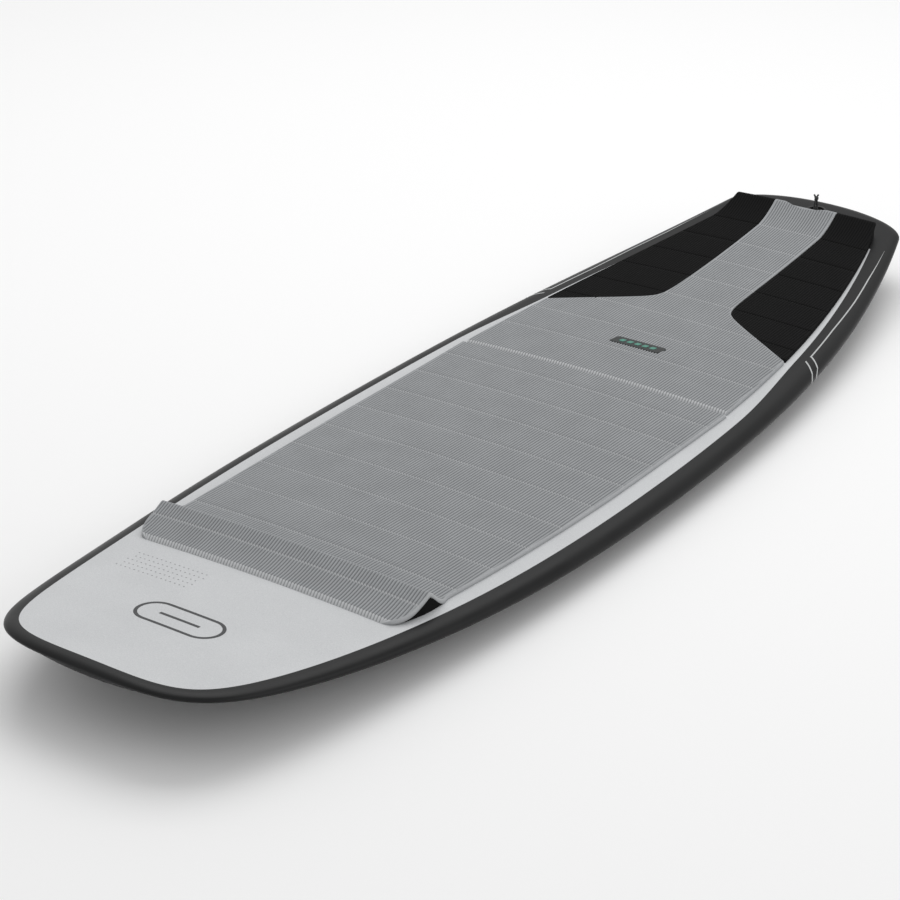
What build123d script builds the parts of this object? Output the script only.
from build123d import *
import os
from math import atan, degrees, hypot, sqrt

import numpy as np

# A strapless directional kiteboard, 5'0" x 18 1/2", in millimetres.
# X runs across the board, +Y from the nose to the tail, +Z up from the lowest point of the bottom.

# ---- driving dimensions: the board ----
LENGTH = 1524.0
END = LENGTH / 2
# half widths of the plan shape, before the nose and the tail are rounded off
TEMPLATE_Y = (-730, -630, -530, -405, -255, -70, 115, 300, 490, 640, 790)
TEMPLATE_HALF_WIDTH = (176.3, 179.0, 197.0, 215.2, 229.3, 235.4, 232.1, 217.8, 190.1, 154.8, 108.9)
NOSE_CAP = (299.5, 3.71)         # length of the rounding and its superellipse exponent
TAIL_CAP = (45.0, 2.2)
DECK_ROCKER = (0.0, 21.3, -2.4, 25.8)    # rise in powers 1 to 4 of y / END
BASE_THICKNESS = 46.0            # on the centreline, at the widest part
BELLY = 15.0                     # how far the rolled bottom falls from the tucked rails to the centreline
NOSE_THINNING = 0.59
TAIL_THINNING = 0.50
DECK_CROWN = 7.0
PAD_EDGE_HEIGHT = 39.012         # of the deck edge above the floor at the widest part
RAIL_DROP = 12.0                 # from the deck edge down to the rail's widest line
RAIL_INSET = 21.0                # width of the rounded upper rail
TUCK_INSET = 40.0                # width of the rounded lower rail
END_ROUND = 13.0                 # rounding of the nose and tail edges in side view
SKIN = 3.0
STRINGER_WIDTH = 4.0
TAPER_POWER = 2.5

# ---- driving dimensions: traction pads ----
PAD = 5.0
PAD_EDGE = 1.5
FRONT_PAD_START = -490.0
RIDGE_PEAK = -438.0
RIDGE_FOOT = -410.0
RIDGE_RISE = 23.0
FRONT_PAD_END = 149.5
REAR_PAD_START = 152.0
KICK_BASE = 655.0
KICK_TOP = 695.0
KICK_END = 701.0
KICK_RISE = 21.0
KICK_NOTCH_HALF_WIDTH = 36.0
KICK_NOTCH_DEPTH = 9.0
STRIP_HALF_WIDTH = 47.0
INLAY_TIP = 315.0
INLAY_CORNER = 392.0
SEAM = 0.4                       # gap between neighbouring pads
PAINT_END = 664.0
PAINT_INSET = 23.0
PAINT_WIDENING = 7.6
BADGE = (71.0, 17.0, 1.6)
BADGE_CENTRE = (5.0, 251.0)

# ---- driving dimensions: hardware ----
FIN_BOX = (132.0, 18.0, 18.0)    # length, width, depth
FIN_SLOT = (114.3, 7.0, 15.0)
FIN_SLOT_BACK = 5.0              # the slot sits this far aft of the box's centre
FIN_BLOCK = (156.0, 42.0, 21.0)
SIDE_FIN = (148.0, 470.0, 3.0, 2.0)    # x, y, cant and toe in degrees
CENTRE_FIN_Y = 615.0
SCREW_R = 2.5
SCREW_LENGTH = 9.0
SCREW_TILT = 30.0
PLUG_Y = 727.0
PLUG_R = 15.0
PLUG_DEPTH = 15.0
PLUG_WALL = 2.5
PLUG_BLOCK_R = 25.0
PLUG_BLOCK_DEPTH = 18.0
PIN_R = 1.6
PIN_DEPTH = 5.0
CORD_R = 1.4
LOOP_HALF_WIDTH = 4.4
LOOP_HEIGHT = 17.0
KNOT_R = 3.4

template = np.polynomial.Polynomial.fit(TEMPLATE_Y, TEMPLATE_HALF_WIDTH, 7)


def cap(distance, length, power):
    """Superellipse rounding, from 0 at the end to 1 at its length."""
    t = min(max(distance / length, 0.0), 1.0)
    return (1 - (1 - t) ** power) ** (1 / power)


def half_width(y):
    return float(template(y)) * cap(y + END, *NOSE_CAP) * cap(END - y, *TAIL_CAP)


def taper(y):
    """How much of the full thickness is left at y."""
    thinning = NOSE_THINNING if y < 0 else TAIL_THINNING
    return 1 - thinning * abs(y / END) ** TAPER_POWER


def end_round(y):
    t = min((END - abs(y)) / END_ROUND, 1.0)
    return sqrt(1 - (1 - t) ** 2)


def crown(y):
    return DECK_CROWN * (max(half_width(y), 40.0) / 235.0) ** 1.5


def deck_edge(y):
    u = y / END
    return PAD_EDGE_HEIGHT + sum(c * u ** (i + 1) for i, c in enumerate(DECK_ROCKER))


def quarter(x, width, inset):
    """Fall of a quarter ellipse over the outer inset of the width, from 0 to 1."""
    t = min(max((abs(x) - (width - inset)) / inset, 0.0), 1.0)
    return 1 - sqrt(1 - t * t)


def rail_insets(y, width):
    """Widths of the rounded upper and lower rail at y."""
    narrowing = 1 - 0.4 * (y / END) ** 2
    return min(RAIL_INSET * narrowing, 0.45 * width), min(TUCK_INSET * narrowing, 0.6 * width)


def heights(y, width, lift=0.0, inset=0.0):
    """Rail apex, deck and bottom heights as functions of x."""
    upper, lower = rail_insets(y, width)
    centre = deck_edge(y) + crown(y)
    apex = deck_edge(y) - RAIL_DROP * taper(y)
    floor = centre - BASE_THICKNESS * taper(y) + inset
    top_rise = (centre - inset - apex) * end_round(y)
    belly = BELLY * taper(y) * end_round(y)
    low_fall = (apex - floor) * end_round(y) - belly
    bow = crown(y) / max(centre - inset - apex, 1e-6)

    def deck(x):
        q = quarter(x, width, upper)
        flat = 1 - bow * (x / width) ** 2
        return apex + top_rise * (flat - q * (1 - bow)) + lift * (1 - q)

    def bottom(x):
        roll = 1 - min(abs(x) / (width - lower), 1.0) ** 2
        return apex - low_fall * (1 - quarter(x, width, lower)) - belly * roll

    return apex, deck, bottom


def section(y, place=None, lift=0.0, inset=0.0):
    """Closed cross section of the board at y: crowned deck, rolled bottom and four rail arcs."""
    width = half_width(y) - inset
    apex, deck, bottom = heights(y, width, lift, inset)
    upper, lower = rail_insets(y, width)
    at = y if place is None else place

    def rail(side, inner, height):
        middle = inner * (1 - sqrt(0.5))
        ends = [(side * width, at, apex), (side * (width - middle), at, height(width - middle)),
                (side * (width - inner), at, height(width - inner))]
        return Edge.make_three_point_arc(*ends)

    top = Edge.make_three_point_arc((upper - width, at, deck(width - upper)), (0, at, deck(0)),
                                    (width - upper, at, deck(width - upper)))
    base = Edge.make_three_point_arc((lower - width, at, bottom(width - lower)), (0, at, bottom(0)),
                                     (width - lower, at, bottom(width - lower)))
    rails = [rail(side, inner, height) for side in (-1, 1)
             for inner, height in ((upper, deck), (lower, bottom))]
    return Wire([top, base] + rails)


def body(stations, lift=lambda y: 0.0, inset=0.0):
    """The board, or an inset or raised copy of it, lofted through stations along y."""
    shrink = (END - inset) / END
    wires = [section(y, y * shrink, lift(y), inset) for y in stations]
    return Solid.make_loft(wires, ruled=True)


def prism(points):
    """Upright prism through the whole board, over a closed outline of points."""
    face = Face(Wire(Polyline(*points, close=True).edges()))
    return extrude(Pos(0, 0, -60) * face, amount=300, dir=(0, 0, 1))


def biggest(shape):
    return max(shape.solids(), key=lambda s: s.volume)


def save(shape, name, colour):
    shape.label = name
    shape.color = Color(colour)
    export_step(shape, f"parts/{name}.step")


# ---- board blank and skins ----
NOSE_STEPS = (0.6, 2, 4.5, 8, 13, 22, 38, 60, 90, 130, 180, 240)
MIDDLE = tuple(np.linspace(-452, 452, 17))
TAIL_STEPS = (240, 180, 130, 90, 60, 45, 35, 26, 19, 13, 9, 5.5, 3, 1.2, 0.4)
STATIONS = [s - END for s in NOSE_STEPS] + list(MIDDLE) + [END - s for s in TAIL_STEPS]


def offset_point(y, distance):
    """Point a distance inside the outline, square to it."""
    step = 0.05
    slope = (half_width(y + step) - half_width(y - step)) / (2 * step)
    run = hypot(1, slope)
    return half_width(y) - distance / run, y + distance * slope / run


def paint_inset(y):
    """Width of the black band on the deck, wider beside the rear pad and narrower at the nose."""
    aft = min(max((y - 150.0) / 190.0, 0.0), 1.0)
    return PAINT_INSET * (1 - 0.35 * max(-y / END, 0) ** 2) + PAINT_WIDENING * aft ** 2 * (3 - 2 * aft)


def paint_outline():
    """Outline of the painted deck, from the nose to the tail kick."""
    ys = [0.4 - END, 3 - END, 12 - END, 35 - END, 80 - END, -600, -500, -350, -200, 0, 150, 200, 245, 290,
          340, 420, 500, 600]
    right = [offset_point(y, paint_inset(y)) for y in ys] + [(half_width(PAINT_END) - 32, PAINT_END)]
    tip = (0, 14.9 - END)
    side = Spline(tip, *right, tangents=[(1, 0), (-0.3, 1)])
    tail = Line(right[-1], (0, PAINT_END))
    half = make_face([side, tail, Line((0, PAINT_END), tip)])
    return half + mirror(half, Plane.YZ)


def make_skins(outer, core):
    shell = outer - core
    paint = extrude(Pos(0, 0, -60) * paint_outline(), amount=300, dir=(0, 0, 1))
    above = max((shell & paint).solids(), key=lambda s: s.center().Z)
    return above, biggest(shell - above)


# ---- traction pads ----
def front_lift(y):
    """Height of the front pad: a ramp up to the ridge, a steep back, then the flat sheet."""
    if y < RIDGE_PEAK:
        t = (y - FRONT_PAD_START) / (RIDGE_PEAK - FRONT_PAD_START)
        bevel = min((y - FRONT_PAD_START) / PAD, 1.0)
        return PAD_EDGE + (PAD - PAD_EDGE) * bevel + (RIDGE_RISE - PAD) * (0.6 * t + 0.4 * t * t)
    t = min((y - RIDGE_PEAK) / (RIDGE_FOOT - RIDGE_PEAK), 1.0)
    return PAD + (RIDGE_RISE - PAD) * (1 - t) ** 1.3


def ridge_core_lift(y):
    return max(front_lift(y) - PAD, 0.4)


def kick_lift(y):
    """Height of the rear pad: a flat sheet, then a hollow ramp up to the tail kick."""
    if y < KICK_BASE:
        return PAD
    if y < KICK_TOP:
        t = (y - KICK_BASE) / (KICK_TOP - KICK_BASE)
        return PAD + (KICK_RISE - PAD) * (0.45 * t + 0.55 * t * t)
    t = (y - KICK_TOP) / (KICK_END - KICK_TOP)
    return KICK_RISE - (KICK_RISE - PAD_EDGE) * t ** 2


def kick_core_lift(y):
    return max(kick_lift(y) - PAD, 0.4)


def pad_half_width(y):
    """Half width of the traction pads."""
    if y < FRONT_PAD_END:
        return 190.5 - 12.0 * max((-y - 90) / 300, 0) ** 1.6
    aft = (y - 200) / 460
    return 186.0 - 26.0 * aft - 44.0 * aft * aft


def side_pair(points):
    """Closed outline from its right half, listed from front to back."""
    return points + [(-x, y) for x, y in reversed(points)]


def front_outline():
    nose = [(157, FRONT_PAD_START), (168, FRONT_PAD_START + 6), (174, FRONT_PAD_START + 22)]
    ridge = [(180, RIDGE_PEAK), (180, RIDGE_FOOT - 3), (177.5, RIDGE_FOOT + 6)]
    sheet = [(pad_half_width(y), y) for y in (-375, -320, -250, -170, -80, 0, 70, FRONT_PAD_END)]
    return side_pair(nose + ridge + sheet)


def rear_outline():
    ys = (REAR_PAD_START, 220, 280, 340, 400, 460, 520, 580, 630, KICK_BASE, 680)
    side = [(pad_half_width(y), y) for y in ys]
    return side_pair(side + [(pad_half_width(KICK_END) - 2, KICK_END)])


def strip_outline():
    """The grey centre piece: the full width ahead of the inlays, then a strip to the tail."""
    corner = [(STRIP_HALF_WIDTH + 24, INLAY_CORNER - 22), (STRIP_HALF_WIDTH + 6, INLAY_CORNER),
              (STRIP_HALF_WIDTH, INLAY_CORNER + 30)]
    ahead = [(200, REAR_PAD_START - 5), (200, INLAY_TIP - 16)]
    return side_pair(ahead + corner + [(STRIP_HALF_WIDTH, KICK_END + 10)])


def inlay_outline(side):
    near = STRIP_HALF_WIDTH + SEAM
    points = [(near, KICK_END + 10), (near, INLAY_CORNER + 30 + SEAM), (near + 6, INLAY_CORNER + SEAM),
              (near + 24, INLAY_CORNER - 22 + SEAM), (200, INLAY_TIP - 16 + SEAM), (220, KICK_END + 10)]
    return [(side * x, y) for x, y in points]


def kick_notch():
    """Shallow scoop out of the rear edge of the tail kick."""
    width, depth = KICK_NOTCH_HALF_WIDTH, KICK_NOTCH_DEPTH
    radius = (width ** 2 + depth ** 2) / (2 * depth)
    disc = Cylinder(radius, 300)
    return Pos(0, KICK_END - depth + radius, 100) * disc


def make_pads(outer):
    front_ys = [FRONT_PAD_START, FRONT_PAD_START + PAD, -475, -460, -448]
    front_ys += [RIDGE_PEAK, -434, -426, -418, RIDGE_FOOT]
    front_ys += list(np.linspace(-370, FRONT_PAD_END + 2, 9))
    front_raised = body(front_ys, front_lift)
    wedge_ys = [-482, -470, -455, RIDGE_PEAK, -432, -425, -416]
    side_gap = 0.5
    ridge_hold = prism(side_pair([(176, -484), (180 - side_gap, -430), (180 - side_gap, -410)]))
    wedge = biggest((body(wedge_ys, ridge_core_lift) & ridge_hold) - outer)
    front = biggest((front_raised & prism(front_outline())) - outer - wedge)
    wedge = biggest(wedge & prism(front_outline()))

    rear_ys = list(np.linspace(REAR_PAD_START - 2, KICK_BASE, 10))
    rear_ys += [664, 673, 681, 688, KICK_TOP, 697, 699, KICK_END]
    notch = kick_notch()
    kick_ys = [660, 668, 676, 683, 689, KICK_TOP, 697, KICK_END - 1.5]
    kick_bar = side_pair([(pad_half_width(656), 656), (pad_half_width(700) - 2, 700)])
    kick = (body(kick_ys, kick_core_lift) & prism(kick_bar)) - outer
    kick = biggest(kick - Pos(0, -4, 0) * notch)
    rear = (body(rear_ys, kick_lift) & prism(rear_outline())) - outer - kick - notch
    centre = biggest(rear & prism(strip_outline()))
    left = biggest(rear & prism(inlay_outline(-1)))
    right = biggest(rear & prism(inlay_outline(1)))
    return front, wedge, centre, left, right, kick


def make_badge(outer):
    """Moulded parallelogram let into the top of the rear pad."""
    length, width, height = BADGE
    x, y = BADGE_CENTRE
    outline = [(x - length / 2 - 1, y - width / 2), (x + length / 2 - 1, y - width / 2),
               (x + length / 2 + 1, y + width / 2), (x - length / 2 + 1, y + width / 2)]
    near = [y - width / 2 - 1, y + width / 2 + 1]
    slab = body(near, lambda v: PAD + 0.6) - body(near, lambda v: PAD + 0.6 - height)
    return biggest(slab & prism(outline))


# ---- fin boxes ----
def bottom_at(x, y):
    return heights(y, half_width(y))[2](x)


def fin_frame(x, y, cant, toe):
    """Local frame on the bottom: Y along the fin, Z up into the board."""
    slope = (bottom_at(x, y + 5) - bottom_at(x, y - 5)) / 10
    side = 1 if x >= 0 else -1
    return Location((x, y, bottom_at(x, y)), (degrees(atan(slope)), -side * cant, -side * toe))


def stadium(length, width, low, high):
    return Pos(0, 0, low) * extrude(SlotOverall(length, width, rotation=90), amount=high - low)


def make_fin_box(frame, outer):
    length, width, depth = FIN_BOX
    slot_length, slot_width, slot_depth = FIN_SLOT
    box = (frame * stadium(length, width, -12, depth)) & outer
    slot = frame * (Pos(0, FIN_SLOT_BACK, 0) * stadium(slot_length, slot_width, -12, slot_depth))
    hole = screw_frame(frame) * Cylinder(SCREW_R + 0.05, 30)
    return biggest(box - slot - hole)


def screw_frame(frame):
    front = FIN_SLOT_BACK - FIN_SLOT[0] / 2
    return frame * Pos(0, front - 0.5, 8.5) * Rot(-SCREW_TILT, 0, 0) * Pos(0, 0, -SCREW_LENGTH / 2 - 1)


def make_screw(frame):
    screw = Cylinder(SCREW_R, SCREW_LENGTH)
    key = Pos(0, 0, -SCREW_LENGTH / 2) * extrude(RegularPolygon(1.45, 6), amount=3.0)
    return screw_frame(frame) * (screw - key)


def make_fin_block(frame, core):
    length, width, depth = FIN_BLOCK
    return biggest((frame * stadium(length, width, -12, depth)) & core)


# ---- leash plug ----
def plug_top():
    return heights(PLUG_Y, half_width(PLUG_Y))[1](0)


def make_plug(outer):
    top = plug_top()
    cup = (Pos(0, PLUG_Y, top + 5 - (PLUG_DEPTH + 5) / 2) * Cylinder(PLUG_R, PLUG_DEPTH + 5)) & outer
    bowl_r = PLUG_R - PLUG_WALL
    bowl = Pos(0, PLUG_Y, top + 10 - (PLUG_DEPTH + 10 - PLUG_WALL) / 2) * Cylinder(
        bowl_r, PLUG_DEPTH + 10 - PLUG_WALL)
    pin = Pos(0, PLUG_Y, top - PIN_DEPTH) * Rot(0, 90, 0) * Cylinder(PIN_R, 2 * (PLUG_R - 1))
    return biggest(cup - bowl - pin), pin


def make_plug_block(core):
    top = plug_top()
    block = Pos(0, PLUG_Y, top - PLUG_BLOCK_DEPTH / 2) * Cylinder(PLUG_BLOCK_R, PLUG_BLOCK_DEPTH)
    return biggest(block & core)


def loop_route():
    """Route of the leash loop: from the knot, down, round under the pin and up again."""
    base = plug_top() - PIN_DEPTH
    low = base - PIN_R - CORD_R - 0.3
    side = PIN_R + CORD_R + 0.3
    high = plug_top() + LOOP_HEIGHT
    wide = LOOP_HALF_WIDTH
    return [(0, PLUG_Y - 1.2, high), (0, PLUG_Y - wide, high - 8), (0, PLUG_Y - side, base + 4),
            (0, PLUG_Y - side, low), (0, PLUG_Y + side, low),
            (0, PLUG_Y + side, base + 4), (0, PLUG_Y + wide, high - 8), (0, PLUG_Y + 1.2, high)]


LOOP_RADII = (6.0, 9.0, 3.2, 3.2, 9.0, 6.0)


def make_loop():
    path = FilletPolyline(*loop_route(), radius=LOOP_RADII)
    start = Plane(origin=path @ 0, z_dir=path % 0)
    tube = sweep(start * Circle(CORD_R), path=path)
    print("leash loop: length", round(path.length, 1), "radii", LOOP_RADII,
          "volume ratio", round(tube.volume / (path.length * np.pi * CORD_R ** 2), 3))
    top = plug_top() + LOOP_HEIGHT
    knot = Pos(0, PLUG_Y, top + 0.6) * Sphere(KNOT_R)
    tails = Rot(24, 20, 0) * Cylinder(1.2, 8) + Rot(-24, -20, 0) * Cylinder(1.2, 8)
    tails = Pos(0, PLUG_Y, top + 4) * tails
    return tube, biggest(knot + tails - tube)


def main():
    os.makedirs("parts", exist_ok=True)
    outer = body(STATIONS)
    core_stations = [y for y in STATIONS if abs(y) < END - 7]
    core = body(core_stations, inset=SKIN)
    deck_skin, hull_skin = make_skins(outer, core)

    x, y, cant, toe = SIDE_FIN
    places = {"left": fin_frame(-x, y, cant, toe), "right": fin_frame(x, y, cant, toe),
              "centre": fin_frame(0, CENTRE_FIN_Y, 0, 0)}
    screws = []
    pockets = []
    for side, frame in places.items():
        box = make_fin_box(frame, outer)
        whole = frame * stadium(FIN_BOX[0], FIN_BOX[1], -12, FIN_BOX[2])
        block = make_fin_block(frame, core)
        hull_skin = biggest(hull_skin - whole)
        pockets.append(block)
        screws.append(make_screw(frame))
        save(box, f"fin_box_{side}", "dimgray")
        save(biggest(block - whole), f"fin_box_block_{side}", "khaki")
    save(Compound(screws), "fin_screws", "silver")

    cup, pin = make_plug(outer)
    whole_plug = Pos(0, PLUG_Y, plug_top() + 5 - (PLUG_DEPTH + 5) / 2) * Cylinder(PLUG_R, PLUG_DEPTH + 5)
    plug_block = make_plug_block(core)
    hull_skin = biggest(hull_skin - whole_plug)
    pockets.append(plug_block)
    loop, knot = make_loop()
    save(cup, "leash_plug_cup", "black")
    save(pin, "leash_plug_pin", "silver")
    save(biggest(plug_block - whole_plug), "leash_plug_block", "khaki")
    save(loop, "leash_loop", "black")
    save(knot, "leash_loop_knot", "black")

    low_core = body(core_stations, lambda v: -1.2, inset=SKIN)
    patch_area = prism(side_pair([(150, 200), (140, 400), (100, 600)]))
    patch = max(((core - low_core) & patch_area).solids(), key=lambda s: s.center().Z)
    blank = core - patch
    for pocket in pockets:
        blank = blank - pocket - whole_plug
    stringer_slab = Pos(0, 0, 100) * Box(STRINGER_WIDTH, LENGTH, 400)
    half_space = Pos(300 + STRINGER_WIDTH / 2, 0, 100) * Box(600, LENGTH, 400)
    save(biggest(blank & stringer_slab), "stringer", "burlywood")
    save(biggest(blank & half_space), "foam_core_right", "white")
    save(biggest(blank & mirror(half_space, Plane.YZ)), "foam_core_left", "white")
    save(patch, "standing_area_laminate", "peru")
    save(deck_skin, "deck_skin", "lightgray")
    save(hull_skin, "hull_skin", "black")

    front, wedge, centre, left, right, kick = make_pads(outer)
    badge = make_badge(outer)
    centre = biggest(centre - badge)
    for shape, name, colour in (
            (front, "front_pad", "gray"), (wedge, "front_ridge_wedge", "black"),
            (centre, "rear_pad_centre", "gray"),
            (left, "rear_pad_left", "black"), (right, "rear_pad_right", "black"),
            (kick, "tail_kick_wedge", "dimgray"), (badge, "pad_badge", "teal")):
        save(shape, name, colour)


main()
